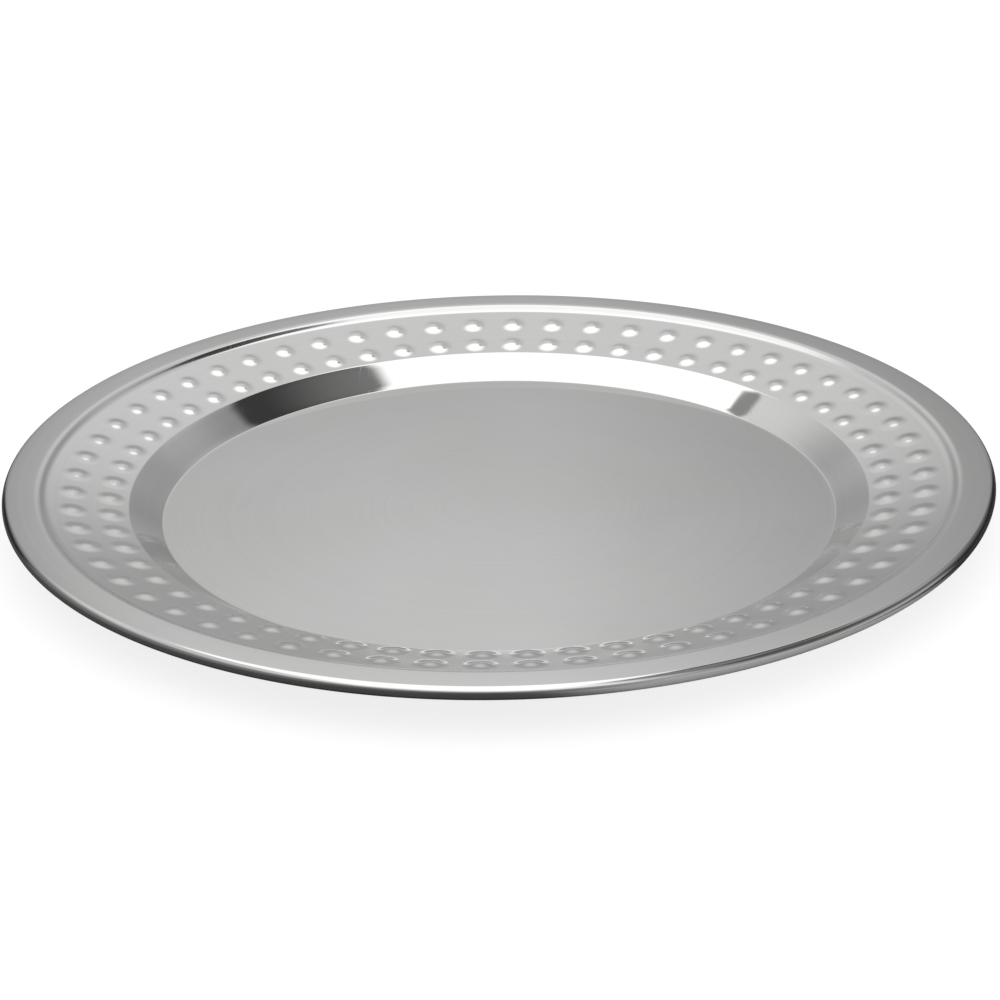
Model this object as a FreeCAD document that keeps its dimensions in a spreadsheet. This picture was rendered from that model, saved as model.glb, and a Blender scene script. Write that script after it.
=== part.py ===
"""Round metal serving tray: one stamped sheet whose edge is rolled around a steel wire.

Millimetres, +Z up. The origin is the centre of the base's underside, so the tray stands on Z = 0.
"""
import FreeCAD, Part
import math
import os

import Sketcher

DRIVING_SIZES = [
    # alias, value, what it is
    ("overall_radius", 175.0, "centre to the outside of the rolled edge"),
    ("overall_height", 16.8, "underside of the base to the top of the rim"),
    ("sheet_thickness", 0.8, "stainless sheet"),
    ("edge_roll_radius", 2.35, "outside radius of the rolled edge"),
    ("edge_roll_sweep", 300.0, "how far round the wire the sheet is rolled, in degrees"),
    ("wire_diameter", 3.0, "wire inside the rolled edge"),
    ("floor_radius", 119.7, "flat floor to the foot of the well wall"),
    ("well_radius", 131.1, "top edge of the well wall"),
    ("well_drop", 8.6, "rim top down to the top edge of the well wall"),
    ("step_radius", 162.4, "outer corner of the step between rim and band"),
    ("step_width", 2.6, "radial width of the step"),
    ("step_drop", 1.8, "height of the step"),
    ("floor_bend", 1.2, "inside bend radius, floor to well wall"),
    ("well_bend", 2.0, "outside bend radius, well wall to band"),
    ("step_foot_bend", 7.0, "inside bend radius, band to step"),
    ("step_head_bend", 4.5, "outside bend radius, step to rim"),
    ("bump_count", 60, "bumps in each row"),
    ("outer_row_radius", 150.6, "radius of the outer row of bumps"),
    ("inner_row_radius", 137.4, "radius of the inner row of bumps"),
    ("bump_height", 0.75, "bump above the band"),
    ("bump_radius", 6.0, "centre of a bump to the outside of its soft foot"),
    ("dome_share", 0.4, "share of a bump's curvature radii that is dome, the rest is foot"),
    ("bump_sink", 0.05, "how far a bump's foot runs into the sheet, so that the two cross cleanly"),
]

# Expressions in terms of the sheet's aliases.
FLOOR_TOP = "sizes.sheet_thickness"
WELL_TOP = "sizes.overall_height - sizes.well_drop"
STEP_FOOT = "sizes.overall_height - sizes.step_drop"
STEP_FOOT_RADIUS = "sizes.step_radius - sizes.step_width"
RIM_END_RADIUS = "sizes.overall_radius - sizes.edge_roll_radius"
ROLL_CENTRE_HEIGHT = "sizes.overall_height - sizes.edge_roll_radius"
BAND_RISE = f"({STEP_FOOT} - ({WELL_TOP}))"
BAND_RUN = f"({STEP_FOOT_RADIUS} - sizes.well_radius)"
BUMP_RISE = "(sizes.bump_height + sizes.bump_sink)"
BUMP_RADII = f"(sizes.bump_radius / sin(2 * atan({BUMP_RISE} / sizes.bump_radius)))"

# How far a bump's solid and the hollow under it reach down from the band, in sheet thicknesses.
BUMP_ROOT = 0.5
HOLLOW_DEPTH = 2

START, END, CENTRE = 1, 2, 3
ORIGIN = (-1, START)
VERTICAL_AXIS = -2
LOOK_ALONG_Y = FreeCAD.Vector(0, 0, 1)


def make_sheet(document):
    """The spreadsheet that holds every driving size."""
    sheet = document.addObject("Spreadsheet::Sheet", "sizes")
    for row, (alias, value, note) in enumerate(DRIVING_SIZES, start=1):
        sheet.set(f"A{row}", str(value))
        sheet.set(f"B{row}", note)
        sheet.setAlias(f"A{row}", alias)
    document.recompute()
    return sheet


class Section:
    """A sketch on its body's XZ plane: x is the distance from the axis and y the height."""

    def __init__(self, body, name):
        self.body = body
        self.sketch = body.newObject("Sketcher::SketchObject", name)
        planes = [item for item in body.Origin.OriginFeatures if item.Role == "XZ_Plane"]
        self.sketch.AttachmentSupport = [(planes[0], "")]
        self.sketch.MapMode = "FlatFace"

    def line(self, start, end):
        """A straight run, as (geometry, point it starts at, point it ends at)."""
        return (self.sketch.addGeometry(Part.LineSegment(start, end), False), START, END)

    def arc(self, centre, radius, from_angle, to_angle):
        """An arc travelled from one angle to the other, in radians, either way round."""
        circle = Part.Circle(centre, LOOK_ALONG_Y, radius)
        low, high = min(from_angle, to_angle), max(from_angle, to_angle)
        geometry = self.sketch.addGeometry(Part.ArcOfCircle(circle, low, high), False)
        return (geometry, START, END) if from_angle < to_angle else (geometry, END, START)

    def fix(self, *constraint, to=None):
        """A constraint, whose value follows an expression where one is given."""
        index = self.sketch.addConstraint(Sketcher.Constraint(*constraint))
        if to is not None:
            self.sketch.setExpression(f"Constraints[{index}]", to)

    def join(self, first, second, kind="Tangent"):
        """The end of one element meets the start of the next."""
        self.fix(kind, first[0], first[2], second[0], second[1])

    def place(self, geometry, point, position, across, up):
        """A point's distance from the axis and its height."""
        self.fix("DistanceX", *ORIGIN, geometry, point, position.x, to=across)
        self.fix("DistanceY", *ORIGIN, geometry, point, position.y, to=up)

    def turn(self, name, kind="PartDesign::Revolution"):
        """Turn the section through a full circle, adding to the body or cutting from it."""
        feature = self.body.newObject(kind, name)
        feature.Profile = self.sketch
        feature.ReferenceAxis = (self.sketch, ["V_Axis"])
        feature.Angle = 360
        self.body.Document.recompute()
        return feature


def bend_arc(before, corner, after, radius):
    """The arc that rounds a corner: centre, start angle, end angle and which way it turns."""
    inward = (corner - before).normalize()
    outward = (after - corner).normalize()
    side = 1 if inward.x * outward.y - inward.y * outward.x > 0 else -1
    half_turn = inward.getAngle(outward) / 2
    start = corner - inward * (radius * math.tan(half_turn))
    centre = start + FreeCAD.Vector(-inward.y, inward.x, 0) * (side * radius)
    from_angle = math.atan2(start.y - centre.y, start.x - centre.x)
    return centre, from_angle, from_angle + side * 2 * half_turn, side


def on_circle(centre, radius, angle):
    return centre + FreeCAD.Vector(math.cos(angle), math.sin(angle), 0) * radius


def make_tray_section(body, sheet):
    """The sheet's section: a top side and an underside, parallel all the way round the roll."""
    section = Section(body, "tray_section")
    sheet_thickness = sheet.sheet_thickness
    rim_top = sheet.overall_height
    # Each corner: where it would be if it were sharp, its bend on the top side, and its aliases.
    corners = [
        (sheet.floor_radius, sheet_thickness, "floor_bend", "sizes.floor_radius", FLOOR_TOP),
        (sheet.well_radius, rim_top - sheet.well_drop, "well_bend", "sizes.well_radius", WELL_TOP),
        (sheet.step_radius - sheet.step_width, rim_top - sheet.step_drop, "step_foot_bend",
         STEP_FOOT_RADIUS, STEP_FOOT),
        (sheet.step_radius, rim_top, "step_head_bend", "sizes.step_radius", "sizes.overall_height"),
    ]
    roll_radius = sheet.edge_roll_radius
    roll_centre = FreeCAD.Vector(sheet.overall_radius - roll_radius, rim_top - roll_radius, 0)
    axis_point = FreeCAD.Vector(0, sheet_thickness, 0)
    rim_end = FreeCAD.Vector(roll_centre.x, rim_top, 0)
    path = [axis_point] + [FreeCAD.Vector(corner[0], corner[1], 0) for corner in corners] + [rim_end]
    bends = [bend_arc(*path[index:index + 3], getattr(sheet, corner[2]))
             for index, corner in enumerate(corners)]

    sides = []
    for below in (0, sheet_thickness):
        side = []
        run_start = axis_point - FreeCAD.Vector(0, below, 0)
        for (centre, from_angle, to_angle, turning), corner in zip(bends, corners):
            radius = getattr(sheet, corner[2]) + turning * below
            side.append(section.line(run_start, on_circle(centre, radius, from_angle)))
            side.append(section.arc(centre, radius, from_angle, to_angle))
            offset = "" if below == 0 else f" {'+' if turning > 0 else '-'} sizes.sheet_thickness"
            section.fix("Radius", side[-1][0], radius, to=f"sizes.{corner[2]}{offset}")
            run_start = on_circle(centre, radius, to_angle)
        side.append(section.line(run_start, rim_end - FreeCAD.Vector(0, below, 0)))
        roll_end = math.pi / 2 - math.radians(sheet.edge_roll_sweep)
        side.append(section.arc(roll_centre, roll_radius - below, math.pi / 2, roll_end))
        for first, second in zip(side, side[1:]):
            section.join(first, second)
        section.fix("Horizontal", side[0][0])
        sides.append(side)
    top, underside = sides
    section.fix("Horizontal", top[-2][0])

    # Both sides of a bend share a centre, and the top side's straight runs meet at the sharp corner.
    for index, corner in enumerate(corners):
        bend = 2 * index + 1
        section.fix("Coincident", top[bend][0], CENTRE, underside[bend][0], CENTRE)
        sharp = section.sketch.addGeometry(Part.Point(path[index + 1]), True)
        section.fix("PointOnObject", sharp, START, top[bend - 1][0])
        section.fix("PointOnObject", sharp, START, top[bend + 1][0])
        section.place(sharp, START, path[index + 1], corner[3], corner[4])

    # The roll: both sides turn about the wire's centre and stop on one radius.
    section.fix("Coincident", top[-1][0], CENTRE, underside[-1][0], CENTRE)
    section.fix("DistanceX", *ORIGIN, top[-1][0], CENTRE, roll_centre.x, to=RIM_END_RADIUS)
    section.fix("Radius", top[-1][0], roll_radius, to="sizes.edge_roll_radius")
    section.fix("Radius", underside[-1][0], roll_radius - sheet_thickness,
                to="sizes.edge_roll_radius - sizes.sheet_thickness")
    edge_outer = on_circle(roll_centre, roll_radius, roll_end)
    edge_inner = on_circle(roll_centre, roll_radius - sheet_thickness, roll_end)
    cut_edge = section.line(edge_outer, edge_inner)
    section.join(top[-1], cut_edge, "Coincident")
    section.fix("Coincident", cut_edge[0], END, underside[-1][0], underside[-1][2])
    section.fix("PointOnObject", top[-1][0], CENTRE, cut_edge[0])
    section.fix("Angle", top[-1][0], math.radians(sheet.edge_roll_sweep), to="sizes.edge_roll_sweep")

    # The axis closes the section at the middle of the floor.
    middle = section.line(axis_point - FreeCAD.Vector(0, sheet_thickness, 0), axis_point)
    section.fix("Coincident", middle[0], START, underside[0][0], START)
    section.fix("Coincident", middle[0], END, top[0][0], START)
    section.fix("PointOnObject", middle[0], START, VERTICAL_AXIS)
    section.fix("Vertical", middle[0])
    return section


def make_bump_section(body, name, row_alias, sheet, hollow):
    """Half of a bump about its own axis, which stands square to the band at its row's radius.

    A dome runs into a foot that curves the other way. The hollow under a bump has the same two
    centres, and radii that differ from the bump's by the sheet's thickness.
    """
    section = Section(body, name)
    sketch = section.sketch
    height = f"{WELL_TOP} + (sizes.{row_alias} - sizes.well_radius) * {BAND_RISE} / {BAND_RUN}"
    sketch.setExpression("AttachmentOffset.Base.x", f"sizes.{row_alias}")
    sketch.setExpression("AttachmentOffset.Base.y", height)
    sketch.setExpression("AttachmentOffset.Rotation.Angle", f"atan({BAND_RISE} / {BAND_RUN})")

    skin = sheet.sheet_thickness if hollow else 0
    less_skin = " - sizes.sheet_thickness" if hollow else ""
    more_skin = " + sizes.sheet_thickness" if hollow else ""
    depth = HOLLOW_DEPTH if hollow else BUMP_ROOT
    rise = sheet.bump_height + sheet.bump_sink
    flank = 2 * math.atan(rise / sheet.bump_radius)
    both_radii = sheet.bump_radius / math.sin(flank)
    dome_radius = both_radii * sheet.dome_share - skin
    foot_radius = both_radii * (1 - sheet.dome_share) + skin
    dome_centre = FreeCAD.Vector(0, sheet.bump_height - both_radii * sheet.dome_share, 0)
    foot_centre = FreeCAD.Vector(sheet.bump_radius, foot_radius - skin - sheet.bump_sink, 0)
    base = -depth * sheet.sheet_thickness

    dome = section.arc(dome_centre, dome_radius, math.pi / 2, math.pi / 2 - flank)
    foot = section.arc(foot_centre, foot_radius, 1.5 * math.pi - flank, 1.5 * math.pi)
    top = FreeCAD.Vector(0, dome_centre.y + dome_radius, 0)
    foot_end = FreeCAD.Vector(foot_centre.x, foot_centre.y - foot_radius, 0)
    base_outside = FreeCAD.Vector(foot_end.x, base, 0)
    base_middle = FreeCAD.Vector(0, base, 0)
    side = section.line(foot_end, base_outside)
    bottom = section.line(base_outside, base_middle)
    axis = section.line(base_middle, top)

    section.join(dome, foot)
    for first, second in ((foot, side), (side, bottom), (bottom, axis), (axis, dome)):
        section.join(first, second, "Coincident")
    section.fix("Vertical", side[0])
    section.fix("Horizontal", bottom[0])
    section.fix("PointOnObject", axis[0], START, VERTICAL_AXIS)
    section.fix("PointOnObject", axis[0], END, VERTICAL_AXIS)
    section.fix("PointOnObject", dome[0], CENTRE, VERTICAL_AXIS)
    section.fix("Radius", dome[0], dome_radius, to=f"{BUMP_RADII} * sizes.dome_share{less_skin}")
    section.fix("Radius", foot[0], foot_radius, to=f"{BUMP_RADII} * (1 - sizes.dome_share){more_skin}")
    section.fix("DistanceX", *ORIGIN, foot[0], CENTRE, foot_centre.x, to="sizes.bump_radius")
    section.fix("DistanceX", *ORIGIN, foot[0], foot[2], foot_end.x, to="sizes.bump_radius")
    section.fix("DistanceY", *ORIGIN, axis[0], END, top.y, to=f"sizes.bump_height{less_skin}")
    section.fix("DistanceY", *ORIGIN, bottom[0], START, base, to=f"-{depth} * sizes.sheet_thickness")
    return section


def repeat_around(body, name, originals):
    """The features repeated round the tray's axis."""
    pattern = body.newObject("PartDesign::PolarPattern", name)
    pattern.Originals = originals
    axes = [item for item in body.Origin.OriginFeatures if item.Role == "Z_Axis"]
    pattern.Axis = (axes[0], [""])
    pattern.Angle = 360
    pattern.setExpression("Occurrences", "sizes.bump_count")
    body.Tip = pattern
    body.Document.recompute()
    return pattern


def make_tray_pan(document, sheet):
    """The stamped sheet: floor, well wall, band, step and rim, with its edge rolled under."""
    body = document.addObject("PartDesign::Body", "tray_pan")
    make_tray_section(body, sheet).turn("sheet_form")
    rows = [("outer", "outer_row_radius"), ("inner", "inner_row_radius")]

    bumps = []
    for row, alias in rows:
        section = make_bump_section(body, f"{row}_bump_section", alias, sheet, hollow=False)
        bumps.append(section.turn(f"{row}_bump"))
    repeat_around(body, "bump_rows", bumps)
    volume_with_bumps = body.Shape.Volume

    hollows = []
    for row, alias in rows:
        section = make_bump_section(body, f"{row}_hollow_section", alias, sheet, hollow=True)
        hollows.append(section.turn(f"{row}_hollow", "PartDesign::Groove"))
    repeat_around(body, "hollow_rows", hollows)
    if body.Shape.Volume >= volume_with_bumps:
        raise RuntimeError("the hollows under the bumps cut nothing")
    return body


def make_rim_wire(document, sheet):
    """The butt-welded wire ring that stiffens the edge, with a hair of room inside the roll."""
    body = document.addObject("PartDesign::Body", "rim_wire")
    section = Section(body, "wire_section")
    centre = FreeCAD.Vector(sheet.overall_radius - sheet.edge_roll_radius,
                            sheet.overall_height - sheet.edge_roll_radius, 0)
    circle = section.sketch.addGeometry(
        Part.Circle(centre, LOOK_ALONG_Y, sheet.wire_diameter / 2), False)
    section.fix("Radius", circle, sheet.wire_diameter / 2, to="sizes.wire_diameter / 2")
    section.place(circle, CENTRE, centre, RIM_END_RADIUS, ROLL_CENTRE_HEIGHT)
    section.turn("wire_ring")
    return body


def check(document, parts):
    """Every feature has recomputed, and every sub-part is one valid solid."""
    for item in document.Objects:
        if {"Invalid", "Error"} & set(item.State):
            raise RuntimeError(f"{item.Name} failed: {item.State}")
    for part in parts:
        if part.Shape.isNull() or not part.Shape.isValid():
            raise RuntimeError(f"{part.Label} has no valid shape")
        if len(part.Shape.Solids) != 1:
            raise RuntimeError(f"{part.Label} has {len(part.Shape.Solids)} solids")


def main():
    document = FreeCAD.newDocument("serving_tray")
    sheet = make_sheet(document)
    parts = [make_tray_pan(document, sheet), make_rim_wire(document, sheet)]
    document.recompute()
    check(document, parts)
    os.makedirs("parts", exist_ok=True)
    for part in parts:
        part.Shape.exportStep(f"parts/{part.Label}.step")


main()
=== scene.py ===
"""A polished steel serving tray on a pale floor, in the CAD model's frame.

The tray's own sizes are in millimetres, as in the CAD model. Everything else is in metres.
"""
import math

import bpy
from mathutils import Matrix, Vector


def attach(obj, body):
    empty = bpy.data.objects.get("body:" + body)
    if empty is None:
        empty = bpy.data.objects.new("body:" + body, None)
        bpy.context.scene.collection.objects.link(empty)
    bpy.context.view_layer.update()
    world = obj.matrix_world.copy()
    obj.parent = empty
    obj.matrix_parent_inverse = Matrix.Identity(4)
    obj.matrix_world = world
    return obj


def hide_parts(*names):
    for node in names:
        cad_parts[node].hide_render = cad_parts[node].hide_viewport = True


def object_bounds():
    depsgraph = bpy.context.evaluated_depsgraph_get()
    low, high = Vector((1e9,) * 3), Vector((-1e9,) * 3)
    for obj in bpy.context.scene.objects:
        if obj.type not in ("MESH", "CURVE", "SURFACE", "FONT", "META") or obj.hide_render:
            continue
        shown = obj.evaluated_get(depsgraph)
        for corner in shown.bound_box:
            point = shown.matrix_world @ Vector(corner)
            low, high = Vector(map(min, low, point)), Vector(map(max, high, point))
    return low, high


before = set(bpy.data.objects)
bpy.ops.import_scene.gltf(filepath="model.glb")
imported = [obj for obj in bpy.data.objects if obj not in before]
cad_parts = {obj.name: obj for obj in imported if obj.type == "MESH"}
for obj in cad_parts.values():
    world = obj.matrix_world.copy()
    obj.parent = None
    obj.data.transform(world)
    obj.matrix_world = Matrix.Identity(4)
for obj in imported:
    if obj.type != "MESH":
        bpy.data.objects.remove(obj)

MM = 0.001
CAD_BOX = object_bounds()
CAD_LOW, CAD_HIGH = Vector(CAD_BOX[0]), Vector(CAD_BOX[1])

# ---------------------------------------------------------------- the tray's shape, in millimetres
OVERALL_RADIUS = (CAD_HIGH.x - CAD_LOW.x) / 2 / MM
RIM_TOP = (CAD_HIGH.z - CAD_LOW.z) / MM
SHEET_THICKNESS = 0.8
ROLL_RADIUS = 2.35
ROLL_SWEEP = math.radians(300)
FLOOR_RADIUS = 119.7
WELL_RADIUS, WELL_DROP = 131.1, 8.6
STEP_RADIUS, STEP_WIDTH, STEP_DROP = 162.4, 2.6, 1.8
# Where each bend of the section would be if it were sharp: radius, height, radius of the bend.
SECTION_BENDS = [
    (FLOOR_RADIUS, SHEET_THICKNESS, 1.2),
    (WELL_RADIUS, RIM_TOP - WELL_DROP, 2.0),
    (STEP_RADIUS - STEP_WIDTH, RIM_TOP - STEP_DROP, 7.0),
    (STEP_RADIUS, RIM_TOP, 4.5),
]
BUMPS_PER_ROW = 60
ROW_RADII = (150.6, 137.4)
BUMP_HEIGHT = 0.75
BUMP_RADIUS = 6.0
# Each bump is a dome over this share of its radius, and a foot over the rest.
DOME_SHARE = 0.4

# How finely the sheet is divided: steps round the axis, and stations along the section.
STEPS_PER_BUMP = 24
FINE_STEPS = BUMPS_PER_ROW * STEPS_PER_BUMP
FEWEST_STEPS = 12
BEND_STATIONS = 6
ROLL_STATIONS = 40
# Distance between the stations of each straight run, in millimetres.
WALL_SPACING, BAND_SPACING, STEP_SPACING = 2.0, 0.5, 1.0
# The flat rim has one fine and one coarse ring, at these shares of the way across it.
RIM_SHARES = (0.3, 0.6)
# The floor's rings start this many millimetres inside its bend. Each is smaller than the one before by
# this many of that one's steps, or by this share of its radius if that is more.
FLOOR_MARGIN = 2.0
FLOOR_STEPS_IN = 6
FLOOR_SHARE_IN = 0.16
# The mesh carries how far a bump raises each vertex, in millimetres, under this name.
LIFT_NAME = "bump_lift"

# ---------------------------------------------------------------- metals
# A scale is how many times a noise changes in a metre. A cut is where a noise starts to show as marks,
# and where the marks are full. Green and blue are shares of red, and the sheet's blue varies a little.
STEEL_REFLECTANCE = 0.62
STEEL_ROUGHNESS = 0.025
STEEL_GREEN, STEEL_BLUE = 0.998, (0.985, 1.0)
TONE_SCALE = 9.0
WARMTH_SCALE = 14.0
WAVE_SCALE = 16.0
GRAIN_SCALE = 2600.0
SMUDGE_SCALE, SMUDGE_CUT = 26.0, (0.52, 0.70)
# Almost all of a noise lies between these two values.
NOISE_SPREAD = (0.3, 0.7)
# Buffing rings: the distance between them, and how often each changes in one radian of its way round.
RING_SPACING, RING_CHANGES = 0.0006, 0.35
RING_CUT = (0.35, 0.75)
# Straight hairline scratches: direction in degrees and spacing, and how far the noise is drawn out.
SCRATCH_SETS = ((18, 0.0011), (-37, 0.0016), (81, 0.0013))
SCRATCH_DRAW = (1.0, 0.02, 0.1)
SCRATCH_CUT = (0.70, 0.78)
# Where wear and the step's darkening start and where they are full, in millimetres: for the roll from the
# outer edge inwards, for the head of the step from a circle just outside it, and for the step's painted shade
# and soil from its middle.
ROLL_WEAR = (2.6, 0.6)
HEAD_WEAR, HEAD_WEAR_OFFSET, HEAD_WEAR_SHARE = (1.6, 0.2), 1.0, 0.6
WEAR_SCALE = 180.0
STEP_SHADE_AND_SOIL = (1.5, 0.3)
# Shares of a bump's height: its sides lie between these two, and its top above them.
BUMP_SIDES = (0.15, 0.6)
# The radii between which the band's coarser finish takes over from the well's, in millimetres.
BAND_FINISH = (131.0, 134.0)
WIRE_REFLECTANCE = 0.46
WIRE_ROUGHNESS = 0.33
WIRE_GREEN, WIRE_BLUE = 0.985, 0.96
# Die lines along the wire: how many in one radian of its own section, and how often each changes in one
# radian of its way round the tray.
WIRE_LINES, WIRE_CHANGES = 14.0, 0.5
OXIDE_SCALE, OXIDE_CUT = 60.0, (0.45, 0.68)

# ---------------------------------------------------------------- studio
# The light tent. Each ring of it is (degrees clockwise from straight behind the tray, brightness), set
# so that the metal reflects the same bright and dark shapes as the real one.
TENT_RADIUS = 1.1
TENT_RINGS, TENT_STEPS = 24, 64
# How far the tent goes on below the level of the tray's base, as an angle in radians.
TENT_DIP = 0.02
HORIZON = [(-180, 0.09), (-160, 0.13), (-120, 0.21), (-64, 0.20),
           (-58, 0.03), (-38, 0.03),
           (-32, 0.40), (-8, 0.47), (2, 0.50), (10, 0.40), (32, 0.37),
           (37, 0.03), (70, 0.03),
           (78, 0.50), (100, 0.60), (145, 0.62), (160, 0.30), (180, 0.09)]
SHOULDER = [(-180, 0.45), (-155, 0.45), (-100, 0.34), (-64, 0.42), (-50, 0.46), (-37, 0.45),
            (-25, 0.52), (-20, 0.58), (-14, 0.78), (-4, 0.85), (2, 0.83),
            (10, 0.67), (18, 0.50), (24, 0.45), (30, 0.26), (36, 0.20), (60, 0.20),
            (80, 0.12), (92, 0.17), (112, 0.14), (130, 0.42), (180, 0.45)]
UPPER = [(-180, 1.40), (-150, 1.30), (-120, 0.90), (-90, 0.80), (-40, 1.00), (-30, 0.90),
         (2, 0.90), (12, 0.76), (24, 0.78), (32, 0.46), (36, 0.37), (42, 0.62), (58, 0.51), (70, 0.27),
         (80, 0.12), (122, 0.12), (145, 0.90), (155, 1.30), (180, 1.40)]
# The elevations, in degrees, between which one ring runs over into the next.
HORIZON_TO_SHOULDER = (10, 32)
SHOULDER_TO_UPPER = (26, 42)
# What hangs overhead is laid out in a flat plane, in heights above the tray to the right of it and
# behind it. Each edge is (where it starts, where it is full).
LOWEST_OVERHEAD = 0.05
SOFTBOX = {"left": (-0.62, -0.57), "right": (0.256, 0.220), "near": (-0.9, -0.8), "far": (1.0, 0.66)}
GAP = {"left": (0.222, 0.262), "right": (0.70, 0.58), "near": (-0.5, -0.3), "far": (0.76, 0.69)}
STAND = {"left": (-0.72, -0.66), "right": (-0.47, -0.50), "near": (0.61, 0.63), "far": (0.735, 0.70)}
SOFTBOX_LEVEL = 1.7
STAND_LEVEL = 0.38
# The gap darkens with distance behind the tray: from the first level to the second between two places.
GAP_PLACES, GAP_LEVELS = (0.16, 0.60), (0.30, 0.06)
# The floor's painted shade as reflections see it, given in the same way as the tent's rings.
FLOOR_RING = [(-180, 0.08), (-90, 0.10), (-70, 0.06), (-42, 0.06),
              (-34, 0.60), (34, 0.60),
              (42, 0.06), (112, 0.05), (125, 0.50), (165, 0.50), (175, 0.10), (180, 0.08)]
# The light table, and the gap between it and the tray. Its shade and its glow add up to white.
TABLE_RADIUS, TABLE_STEPS = 4.0, 96
TABLE_GAP = 0.0001
TABLE_SHADE = 0.25
GLOW_LEVEL = 0.8
# Reflections also see it lit under the tray. That light starts at the first of these distances from the
# axis and is full at the second.
UNDER_LEVEL = 0.3
UNDER_EDGE = (0.168, 0.150)
WORLD_LEVEL = 1.0

# ---------------------------------------------------------------- camera
# The distance is to the middle of the rim. The lens is in millimetres.
CAMERA_AZIMUTH = math.radians(2.56)
CAMERA_ELEVATION = math.radians(23.157)
CAMERA_ROLL = math.radians(-1.086)
CAMERA_DISTANCE = 6.514 * OVERALL_RADIUS * MM
CAMERA_LENS = 115.55
CAMERA_CLIP = (0.01, 50)
AIM_RIGHT, AIM_BELOW = 0.0006, 0.0129


# ---------------------------------------------------------------- mesh of the pressed sheet
def bend_stations(before, corner, after, radius):
    """Points and upward normals along the arc that rounds one corner of the section."""
    inward = (corner - before).normalized()
    outward = (after - corner).normalized()
    side = 1 if inward.x * outward.y - inward.y * outward.x > 0 else -1
    half_turn = inward.angle(outward) / 2
    start = corner - inward * radius * math.tan(half_turn)
    centre = start + Vector((-inward.y, inward.x)) * side * radius
    first = math.atan2(start.y - centre.y, start.x - centre.x)
    stations = []
    for step in range(BEND_STATIONS + 1):
        angle = first + side * 2 * half_turn * step / BEND_STATIONS
        spoke = Vector((math.cos(angle), math.sin(angle)))
        stations.append((centre + spoke * radius, spoke * -side))
    return stations


def straight_stations(start, end, spacing):
    """Evenly spaced stations strictly between two others on one straight run."""
    (first, normal), (last, _) = start, end
    count = max(1, round((last - first).length / spacing))
    return [(first.lerp(last, step / count), normal) for step in range(1, count)]


def section_stations():
    """The top side of the section from the floor's edge to the flat rim: (radius, height), normal."""
    path = [Vector((0, SHEET_THICKNESS))]
    path += [Vector(bend[:2]) for bend in SECTION_BENDS]
    path.append(Vector((OVERALL_RADIUS - ROLL_RADIUS, RIM_TOP)))
    bends = [bend_stations(*path[index:index + 3], bend[2]) for index, bend in enumerate(SECTION_BENDS)]
    floor_bend, well_bend, foot_bend, head_bend = bends
    stations = list(floor_bend)
    stations += straight_stations(floor_bend[-1], well_bend[0], WALL_SPACING) + well_bend
    stations += straight_stations(well_bend[-1], foot_bend[0], BAND_SPACING) + foot_bend
    stations += straight_stations(foot_bend[-1], head_bend[0], STEP_SPACING) + head_bend
    return stations


def roll_stations():
    """The rolled edge, from the flat rim over and round the wire."""
    centre = Vector((OVERALL_RADIUS - ROLL_RADIUS, RIM_TOP - ROLL_RADIUS))
    stations = []
    for step in range(ROLL_STATIONS + 1):
        angle = math.pi / 2 - ROLL_SWEEP * step / ROLL_STATIONS
        spoke = Vector((math.cos(angle), math.sin(angle)))
        stations.append((centre + spoke * ROLL_RADIUS, spoke))
    return stations


def bump_rise(distance):
    """Height of a bump at a distance from its centre: a dome that runs into a foot curved the other way."""
    if distance >= BUMP_RADIUS:
        return 0.0
    # The two arcs meet at the flank's angle, and together they span the bump's radius and height.
    flank = 2 * math.atan(BUMP_HEIGHT / BUMP_RADIUS)
    both_radii = BUMP_RADIUS / math.sin(flank)
    dome = both_radii * DOME_SHARE
    foot = both_radii - dome
    if distance < dome * math.sin(flank):
        return BUMP_HEIGHT - dome + math.sqrt(dome ** 2 - distance ** 2)
    return foot - math.sqrt(foot ** 2 - (BUMP_RADIUS - distance) ** 2)


def bump_at(radius, slope_cosine, turn):
    """How far the band is raised at a place on it, by the nearest bump of each row."""
    pitch = 2 * math.pi / BUMPS_PER_ROW
    off_centre = (turn + pitch / 2) % pitch - pitch / 2
    rise = 0.0
    for row_radius in ROW_RADII:
        along = (radius * math.cos(off_centre) - row_radius) / slope_cosine
        across = radius * math.sin(off_centre)
        rise += bump_rise(math.hypot(along, across))
    return rise


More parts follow.
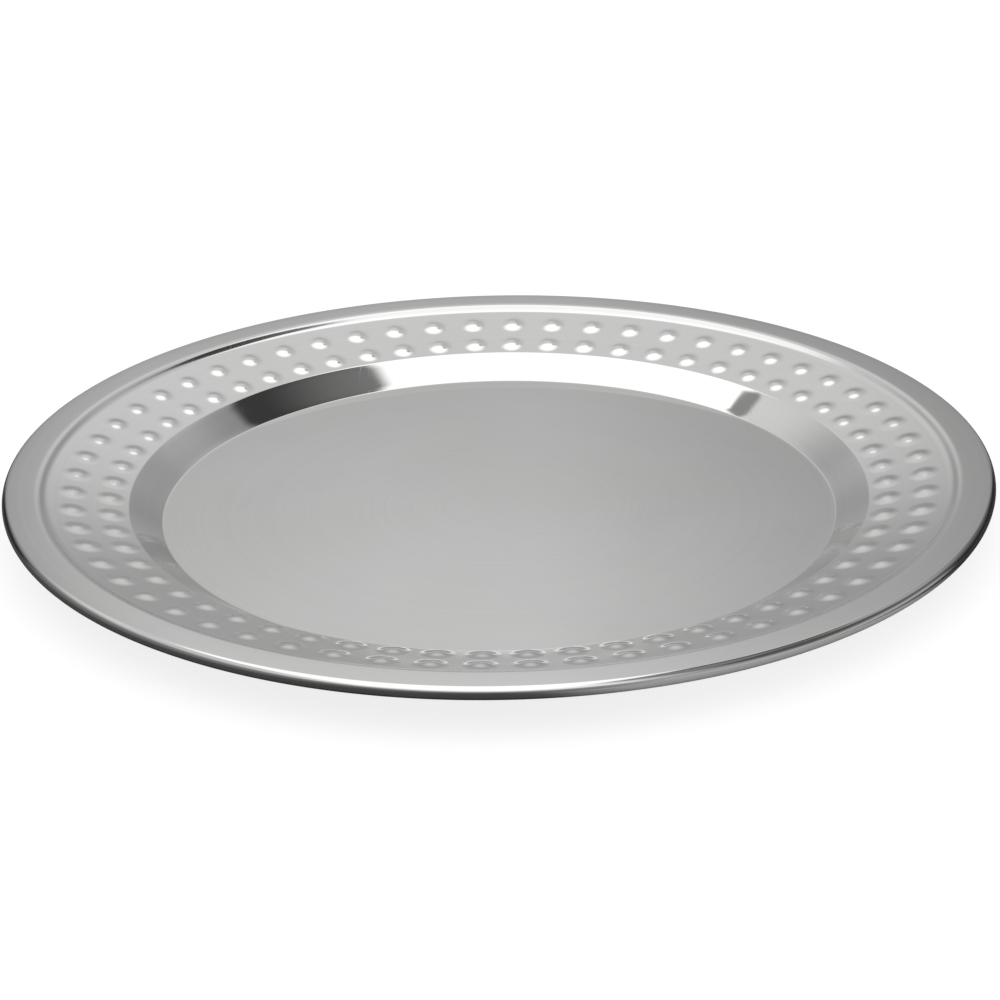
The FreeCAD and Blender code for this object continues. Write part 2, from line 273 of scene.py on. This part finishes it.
class SheetMesh:
    """Rings of vertices round the tray's axis, each made once for the top side and once for the underside."""

    def __init__(self):
        self.vertices = []
        self.lifts = []
        self.faces = []

    def ring(self, count, station, below, bumpy=False):
        """A ring of vertices at one station of the section, as the list of their numbers."""
        point, normal = station
        first = len(self.vertices)
        for step in range(count):
            turn = 2 * math.pi * step / count
            lift = bump_at(point.x, normal.y, turn) if bumpy else 0.0
            radius = point.x + normal.x * (lift - below)
            height = point.y + normal.y * (lift - below)
            self.vertices.append((radius * math.cos(turn) * MM, radius * math.sin(turn) * MM, height * MM))
            self.lifts.append(lift)
        return list(range(first, first + count))

    def bridge(self, inner, outer, flip):
        """Faces between two rings. One ring may have twice as many vertices as the other."""
        big, small = (outer, inner) if len(outer) >= len(inner) else (inner, outer)
        flip = flip if big is outer else not flip
        for index in range(len(small)):
            here, there = small[index], small[(index + 1) % len(small)]
            if len(big) == len(small):
                faces = [(here, big[index], big[(index + 1) % len(big)], there)]
            else:
                middle = big[2 * index + 1]
                faces = [(here, big[2 * index], middle), (here, middle, there),
                         (there, middle, big[(2 * index + 2) % len(big)])]
            self.faces += [tuple(reversed(face)) for face in faces] if flip else faces

    def cap(self, ring, centre_height, flip):
        """A fan that closes the middle of the floor."""
        centre = len(self.vertices)
        self.vertices.append((0, 0, centre_height * MM))
        self.lifts.append(0.0)
        for index, here in enumerate(ring):
            face = (centre, here, ring[(index + 1) % len(ring)])
            self.faces.append(tuple(reversed(face)) if flip else face)


def floor_rings():
    """Radii and vertex counts of the flat floor's rings: the count halves as the rings get smaller."""
    rings = []
    count, radius = FINE_STEPS, FLOOR_RADIUS - FLOOR_MARGIN
    while count > FEWEST_STEPS and count % 2 == 0:
        rings.append((radius, count))
        spacing = 2 * math.pi * radius / count
        count //= 2
        radius -= max(spacing * FLOOR_STEPS_IN, radius * FLOOR_SHARE_IN)
    rings.append((radius, count))
    return list(reversed(rings))


def build_pan():
    """The whole pressed sheet as one closed mesh of an even thickness."""
    mesh = SheetMesh()
    up = Vector((0, 1))
    section = section_stations()
    roll = roll_stations()
    rim_fine, rim_coarse = [(section[-1][0].lerp(roll[0][0], share), up) for share in RIM_SHARES]
    side_ends = []
    for below, flip in ((0, False), (SHEET_THICKNESS, True)):
        rings = []
        for radius, count in floor_rings():
            rings.append(mesh.ring(count, (Vector((radius, SHEET_THICKNESS)), up), below))
        mesh.cap(rings[0], SHEET_THICKNESS - below, flip)
        rings += [mesh.ring(FINE_STEPS, station, below, bumpy=True) for station in section]
        rings.append(mesh.ring(FINE_STEPS, rim_fine, below))
        rings.append(mesh.ring(FINE_STEPS // 2, rim_coarse, below))
        rings += [mesh.ring(FINE_STEPS // 2, station, below) for station in roll]
        for inner, outer in zip(rings, rings[1:]):
            mesh.bridge(inner, outer, flip)
        side_ends.append(rings[-1])
    mesh.bridge(side_ends[0], side_ends[1], False)

    data = bpy.data.meshes.new("pressed_sheet")
    data.from_pydata(mesh.vertices, [], mesh.faces)
    data.attributes.new(LIFT_NAME, "FLOAT", "POINT").data.foreach_set("value", mesh.lifts)
    data.validate()
    data.shade_smooth()
    piece = bpy.data.objects.new("pressed_sheet", data)
    bpy.context.scene.collection.objects.link(piece)
    return piece


# ---------------------------------------------------------------- node helpers
class Nodes:
    """Short ways to add and join shader nodes."""

    def __init__(self, tree):
        self.tree = tree
        tree.nodes.clear()

    def add(self, kind, inputs=None, **settings):
        """A node with its settings, and with each input joined to a socket or set to a value."""
        node = self.tree.nodes.new(kind)
        for name, value in settings.items():
            setattr(node, name, value)
        for name, value in (inputs or {}).items():
            self.feed(value, node.inputs[name])
        return node

    def feed(self, value, socket):
        """Joins an input to a socket or sets it to a value."""
        if isinstance(value, bpy.types.NodeSocket):
            self.tree.links.new(value, socket)
        else:
            socket.default_value = value

    def math(self, operation, *values, clamp=False):
        """One step of arithmetic on numbers or sockets."""
        node = self.add("ShaderNodeMath", operation=operation, use_clamp=clamp)
        for value, socket in zip(values, node.inputs):
            self.feed(value, socket)
        return node.outputs[0]

    def vector_math(self, operation, *values):
        """One step of arithmetic on vectors."""
        node = self.add("ShaderNodeVectorMath", operation=operation)
        for value, socket in zip(values, node.inputs):
            self.feed(value, socket)
        return node.outputs["Value" if operation == "LENGTH" else "Vector"]

    def ramp(self, value, low, high, out_low=0.0, out_high=1.0):
        """A smooth step of value from low to high."""
        node = self.add("ShaderNodeMapRange", {"Value": value, "From Min": low, "From Max": high,
                                               "To Min": out_low, "To Max": out_high},
                        interpolation_type="SMOOTHSTEP")
        return node.outputs["Result"]

    def either_way(self, noise):
        """Noise spread out from minus one to one."""
        return self.ramp(noise, *NOISE_SPREAD, -1.0, 1.0)

    def sum_of(self, start, *parts):
        """A start value plus masks, each multiplied by its own amount."""
        total = start
        for mask, amount in parts:
            total = self.math("MULTIPLY_ADD", mask, amount, total)
        return total

    def all_of(self, *masks):
        """Where every mask is one."""
        product = masks[0]
        for mask in masks[1:]:
            product = self.math("MULTIPLY", product, mask)
        return product

    def mix(self, factor, first, second):
        """The first where the factor is zero, the second where it is one."""
        node = self.add("ShaderNodeMix", {"Factor": factor, "A": first, "B": second})
        return node.outputs["Result"]

    def noise(self, vector, scale, detail=2.0, roughness=0.5):
        """Cloudy noise from zero to one."""
        node = self.add("ShaderNodeTexNoise", {"Vector": vector, "Scale": scale, "Detail": detail,
                                               "Roughness": roughness})
        return node.outputs["Fac"]


def new_material(name):
    """An empty material, and the helper that fills it."""
    material = bpy.data.materials.new(name)
    material.use_nodes = True
    return material, Nodes(material.node_tree)


# ---------------------------------------------------------------- materials
def place_on_tray(nodes):
    """Where a point is on the tray: place, distance from the axis, height and direction round the axis."""
    place = nodes.add("ShaderNodeTexCoord").outputs["Object"]
    x, y, z = nodes.add("ShaderNodeSeparateXYZ", {"Vector": place}).outputs
    flat = nodes.add("ShaderNodeCombineXYZ", {"X": x, "Y": y}).outputs[0]
    return place, nodes.vector_math("LENGTH", flat), z, nodes.vector_math("NORMALIZE", flat)


def distance_from(nodes, radius, circle):
    """How far a point is, outwards or inwards, from a circle round the axis given in millimetres."""
    return nodes.math("ABSOLUTE", nodes.math("SUBTRACT", radius, circle * MM))


def hairlines(nodes, place, degrees, spacing):
    """Scattered straight scratches in one direction: noise drawn out along it and cut off at its peaks."""
    scale = [draw / spacing for draw in SCRATCH_DRAW]
    turned = nodes.add("ShaderNodeMapping", {"Vector": place, "Rotation": (0, 0, math.radians(degrees)),
                                             "Scale": scale})
    return nodes.ramp(nodes.noise(turned.outputs[0], 1.0, detail=1.0), *SCRATCH_CUT)


def lines_round(nodes, round_axis, along, across):
    """Noise drawn out into lines round the tray's axis: it changes slowly along them and quickly across."""
    slow = nodes.vector_math("MULTIPLY", round_axis, (along, along, along))
    quick = nodes.add("ShaderNodeCombineXYZ", {"Z": across}).outputs[0]
    return nodes.noise(nodes.vector_math("ADD", slow, quick), 1.0, detail=3.0, roughness=0.6)


def finish_metal(nodes, shine, green, blue, rough, relief):
    """Bare metal. Green and blue are shares of its reflectance, and its relief is in metres."""
    colour = nodes.add("ShaderNodeCombineColor", {"Red": shine, "Green": nodes.math("MULTIPLY", shine, green),
                                                  "Blue": nodes.math("MULTIPLY", shine, blue)})
    bump = nodes.add("ShaderNodeBump", {"Height": relief, "Strength": 1.0, "Distance": 1.0})
    bsdf = nodes.add("ShaderNodeBsdfPrincipled", {"Base Color": colour.outputs[0], "Metallic": 1.0,
                                                  "Roughness": rough, "Normal": bump.outputs[0]})
    nodes.add("ShaderNodeOutputMaterial", {"Surface": bsdf.outputs[0]})


def tray_steel():
    """Buffed stainless sheet: faint buffing rings, hairline scratches, smudges, wear from hands, and painted
    shade with soil in the step.
    """
    material, nodes = new_material("tray_steel")
    place, radius, _, round_axis = place_on_tray(nodes)

    rings = lines_round(nodes, round_axis, RING_CHANGES, nodes.math("MULTIPLY", radius, 1 / RING_SPACING))
    scratches = 0.0
    for degrees, spacing in SCRATCH_SETS:
        scratches = nodes.math("MAXIMUM", scratches, hairlines(nodes, place, degrees, spacing))
    smudges = nodes.ramp(nodes.noise(place, SMUDGE_SCALE, detail=5.0, roughness=0.62), *SMUDGE_CUT)
    tone = nodes.noise(place, TONE_SCALE)
    grain = nodes.noise(place, GRAIN_SCALE, detail=1.0)
    waves = nodes.noise(place, WAVE_SCALE, detail=1.0)

    # Hands and stacking dull the roll and the head of the step. The step itself is darker: painted shade in
    # its crease, and soil.
    # The bumps are rubbed brighter on top, and the band is less finely buffed than the floor.
    roll_wear = nodes.ramp(radius, *[(OVERALL_RADIUS - inside) * MM for inside in ROLL_WEAR])
    head = distance_from(nodes, radius, STEP_RADIUS + HEAD_WEAR_OFFSET)
    head_wear = nodes.ramp(head, *[away * MM for away in HEAD_WEAR])
    worn = nodes.math("MAXIMUM", roll_wear, nodes.math("MULTIPLY", head_wear, HEAD_WEAR_SHARE))
    worn = nodes.math("MULTIPLY", worn, nodes.noise(place, WEAR_SCALE, detail=4.0, roughness=0.7))
    # Painted shade in the step's crease, together with soil: it darkens the shine and roughens it.
    step = distance_from(nodes, radius, STEP_RADIUS - STEP_WIDTH / 2)
    step_shade_and_soil = nodes.ramp(step, *[away * MM for away in STEP_SHADE_AND_SOIL])
    lift = nodes.add("ShaderNodeAttribute", attribute_name=LIFT_NAME).outputs["Fac"]
    side_low, side_high = [share * BUMP_HEIGHT for share in BUMP_SIDES]
    bump_sides = nodes.ramp(lift, side_low, side_high)
    bump_tops = nodes.ramp(lift, side_high, BUMP_HEIGHT)
    band = nodes.ramp(radius, *[edge * MM for edge in BAND_FINISH])

    shine = nodes.sum_of(STEEL_REFLECTANCE, (nodes.either_way(tone), 0.012), (nodes.either_way(rings), 0.010),
                         (bump_tops, 0.015), (smudges, -0.012), (worn, -0.03), (step_shade_and_soil, -0.08))
    rough = nodes.sum_of(STEEL_ROUGHNESS, (smudges, 0.03), (band, 0.03), (bump_sides, 0.05),
                         (nodes.ramp(rings, *RING_CUT), 0.02), (scratches, 0.06), (worn, 0.10), (step_shade_and_soil, 0.05),
                         (nodes.ramp(grain, *NOISE_SPREAD), 0.01))
    relief = nodes.sum_of(0.0, (waves, 60e-6), (rings, 0.8e-6), (scratches, -0.6e-6), (grain, 0.25e-6))
    warmth = nodes.ramp(nodes.noise(place, WARMTH_SCALE), *NOISE_SPREAD, *STEEL_BLUE)
    finish_metal(nodes, shine, STEEL_GREEN, warmth, rough, relief)
    return material


def wire_steel():
    """Drawn steel wire, never polished: die lines along its length under a thin grey oxide."""
    material, nodes = new_material("wire_steel")
    place, radius, z, round_axis = place_on_tray(nodes)
    across = nodes.math("SUBTRACT", radius, (OVERALL_RADIUS - ROLL_RADIUS) * MM)
    above = nodes.math("SUBTRACT", z, (RIM_TOP - ROLL_RADIUS) * MM)
    round_wire = nodes.math("MULTIPLY", nodes.math("ARCTAN2", above, across), WIRE_LINES)
    lines = lines_round(nodes, round_axis, WIRE_CHANGES, round_wire)
    oxide = nodes.ramp(nodes.noise(place, OXIDE_SCALE, detail=4.0, roughness=0.65), *OXIDE_CUT)

    shine = nodes.sum_of(WIRE_REFLECTANCE, (nodes.either_way(lines), 0.06), (oxide, -0.10))
    rough = nodes.sum_of(WIRE_ROUGHNESS, (nodes.either_way(lines), -0.05), (oxide, 0.18))
    relief = nodes.sum_of(0.0, (lines, 12e-6), (oxide, 3e-6))
    finish_metal(nodes, shine, WIRE_GREEN, WIRE_BLUE, rough, relief)
    return material


# ---------------------------------------------------------------- studio
def clock(nodes, position):
    """Direction round the tray, clockwise from 0 in front of it, through a half behind it, to 1."""
    x, y, _ = nodes.add("ShaderNodeSeparateXYZ", {"Vector": position}).outputs
    return nodes.math("ADD", nodes.math("MULTIPLY", nodes.math("ARCTAN2", x, y), 0.5 / math.pi), 0.5)


def ring_of_light(nodes, turn, stops):
    """Brightness round a ring: stops are (degrees clockwise from straight behind the tray, level)."""
    node = nodes.add("ShaderNodeValToRGB", {"Fac": turn})
    ramp = node.color_ramp
    ramp.interpolation = "LINEAR"
    # A new colour ramp already has two elements.
    for index, (degrees, level) in enumerate(stops):
        position = (degrees + 180) / 360
        element = ramp.elements[index] if index < 2 else ramp.elements.new(position)
        element.position = position
        element.color = (level, level, level, 1)
    return node.outputs["Color"]


def tent_light(nodes, position):
    """Brightness of the light tent at a place on it: the room round the tray, and a softbox overhead."""
    x, y, z = nodes.add("ShaderNodeSeparateXYZ", {"Vector": position}).outputs
    height = nodes.math("DIVIDE", z, TENT_RADIUS, clamp=True)
    elevation = nodes.math("MULTIPLY", nodes.math("ARCSINE", height), 180 / math.pi)
    turn = clock(nodes, position)
    horizon, shoulder, upper = [ring_of_light(nodes, turn, ring) for ring in (HORIZON, SHOULDER, UPPER)]
    level = nodes.mix(nodes.ramp(elevation, *HORIZON_TO_SHOULDER), horizon, shoulder)
    level = nodes.mix(nodes.ramp(elevation, *SHOULDER_TO_UPPER), level, upper)

    overhead = nodes.math("MAXIMUM", z, LOWEST_OVERHEAD)
    right = nodes.math("DIVIDE", x, overhead)
    behind = nodes.math("DIVIDE", y, overhead)

    def inside(panel):
        """Where the overhead plane is inside all four edges of a panel."""
        return nodes.all_of(nodes.ramp(right, *panel["left"]), nodes.ramp(right, *panel["right"]),
                            nodes.ramp(behind, *panel["near"]), nodes.ramp(behind, *panel["far"]))

    # The dark gap between the softbox and the wall on its right.
    level = nodes.mix(inside(GAP), level, nodes.ramp(behind, *GAP_PLACES, *GAP_LEVELS))
    # The softbox, with everything left of and behind the stand's near right corner cut off.
    corner = nodes.all_of(nodes.ramp(behind, *STAND["near"]), nodes.ramp(right, *STAND["right"]))
    softbox = nodes.all_of(inside(SOFTBOX), nodes.math("SUBTRACT", 1.0, corner))
    level = nodes.mix(softbox, level, SOFTBOX_LEVEL)
    return nodes.mix(inside(STAND), level, STAND_LEVEL)


def tent_mesh():
    """A dome that dips a little below the floor. The rings of vertices close to a point at its top."""
    vertices, faces = [], []
    for ring in range(TENT_RINGS + 1):
        tilt = (math.pi / 2 + TENT_DIP) * ring / TENT_RINGS - TENT_DIP
        for step in range(TENT_STEPS):
            around = 2 * math.pi * step / TENT_STEPS
            vertices.append((TENT_RADIUS * math.cos(tilt) * math.cos(around),
                             TENT_RADIUS * math.cos(tilt) * math.sin(around),
                             TENT_RADIUS * math.sin(tilt)))
    for ring in range(TENT_RINGS):
        for step in range(TENT_STEPS):
            here = ring * TENT_STEPS + step
            there = ring * TENT_STEPS + (step + 1) % TENT_STEPS
            faces.append((here, here + TENT_STEPS, there + TENT_STEPS, there))
    data = bpy.data.meshes.new("light_tent")
    data.from_pydata(vertices, [], faces)
    return data


def light_studio():
    """A light tent round the tray that only reflections see, and white all round for everything else."""
    tent = bpy.data.objects.new("light_tent", tent_mesh())
    tent.rotation_euler.z = CAMERA_AZIMUTH
    tent.visible_camera = False
    tent.visible_diffuse = False
    bpy.context.scene.collection.objects.link(tent)
    material, nodes = new_material("light_tent")
    place = nodes.add("ShaderNodeTexCoord").outputs["Object"]
    emission = nodes.add("ShaderNodeEmission", {"Strength": tent_light(nodes, place)})
    nodes.add("ShaderNodeOutputMaterial", {"Surface": emission.outputs[0]})
    # Only reflected rays may find the tent, so it isn't sampled as a lamp.
    material.cycles.emission_sampling = "NONE"
    tent.data.materials.append(material)

    world = bpy.data.worlds.new("white")
    bpy.context.scene.world = world
    world.use_nodes = True
    nodes = Nodes(world.node_tree)
    background = nodes.add("ShaderNodeBackground", {"Color": (1, 1, 1, 1), "Strength": WORLD_LEVEL})
    nodes.add("ShaderNodeOutputWorld", {"Surface": background.outputs[0]})


def pale_floor():
    """Pale and lit from below for the eye. Reflections see it shaded round the tray and lit under it."""
    material, nodes = new_material("pale_floor")
    matt = nodes.add("ShaderNodeBsdfDiffuse", {"Color": (TABLE_SHADE, TABLE_SHADE, TABLE_SHADE, 1)})
    glow = nodes.add("ShaderNodeEmission", {"Strength": GLOW_LEVEL})
    pale = nodes.add("ShaderNodeAddShader", {0: matt.outputs[0], 1: glow.outputs[0]})

    place = nodes.add("ShaderNodeTexCoord").outputs["Object"]
    shade = ring_of_light(nodes, clock(nodes, place), FLOOR_RING)
    ring = nodes.add("ShaderNodeBsdfDiffuse", {"Color": shade})
    under_level = nodes.ramp(nodes.vector_math("LENGTH", place), *UNDER_EDGE, 0.0, UNDER_LEVEL)
    under = nodes.add("ShaderNodeEmission", {"Strength": under_level})
    shaded = nodes.add("ShaderNodeAddShader", {0: ring.outputs[0], 1: under.outputs[0]})

    reflected = nodes.add("ShaderNodeLightPath").outputs["Is Glossy Ray"]
    mix = nodes.add("ShaderNodeMixShader", {0: reflected, 1: pale.outputs[0], 2: shaded.outputs[0]})
    nodes.add("ShaderNodeOutputMaterial", {"Surface": mix.outputs[0]})
    return material


def lay_floor():
    """A round light table just under the tray."""
    turns = [2 * math.pi * step / TABLE_STEPS for step in range(TABLE_STEPS)]
    edge = [(TABLE_RADIUS * math.cos(turn), TABLE_RADIUS * math.sin(turn), 0) for turn in turns]
    data = bpy.data.meshes.new("floor")
    data.from_pydata(edge, [], [tuple(range(TABLE_STEPS))])
    data.materials.append(pale_floor())
    floor = bpy.data.objects.new("floor", data)
    floor.location.z = CAD_LOW.z - TABLE_GAP
    floor.rotation_euler.z = CAMERA_AZIMUTH
    bpy.context.scene.collection.objects.link(floor)


# ---------------------------------------------------------------- camera
def set_camera():
    """A long lens that looks down at the tray, aimed a little below the middle of its rim."""
    rim_centre = Vector(((CAD_LOW.x + CAD_HIGH.x) / 2, (CAD_LOW.y + CAD_HIGH.y) / 2, CAD_HIGH.z))
    turn = Matrix.Rotation(CAMERA_AZIMUTH, 3, "Z")
    back = turn @ Vector((0, -math.cos(CAMERA_ELEVATION), math.sin(CAMERA_ELEVATION)))
    level_right = turn @ Vector((1, 0, 0))
    level_up = back.cross(level_right)
    right = level_right * math.cos(CAMERA_ROLL) + level_up * math.sin(CAMERA_ROLL)
    up = level_up * math.cos(CAMERA_ROLL) - level_right * math.sin(CAMERA_ROLL)
    place = rim_centre + back * CAMERA_DISTANCE
    target = rim_centre + right * AIM_RIGHT - up * AIM_BELOW
    back = (place - target).normalized()
    right = up.cross(back).normalized()
    up = back.cross(right)
    data = bpy.data.cameras.new("camera")
    data.lens = CAMERA_LENS
    data.clip_start, data.clip_end = CAMERA_CLIP
    camera = bpy.data.objects.new("camera", data)
    camera.matrix_world = Matrix.Translation(place) @ Matrix((right, up, back)).transposed().to_4x4()
    bpy.context.scene.collection.objects.link(camera)
    bpy.context.scene.camera = camera


# ---------------------------------------------------------------- scene
def main():
    """The tray, with its pressed sheet replaced by a finer mesh, on the floor in the studio."""
    pan = build_pan()
    pan.data.materials.append(tray_steel())
    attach(pan, "root")
    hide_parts("tray_pan")
    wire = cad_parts["rim_wire"]
    wire.data.materials.clear()
    wire.data.materials.append(wire_steel())
    lay_floor()
    light_studio()
    set_camera()
    bpy.context.scene.view_settings.view_transform = "Standard"


main()
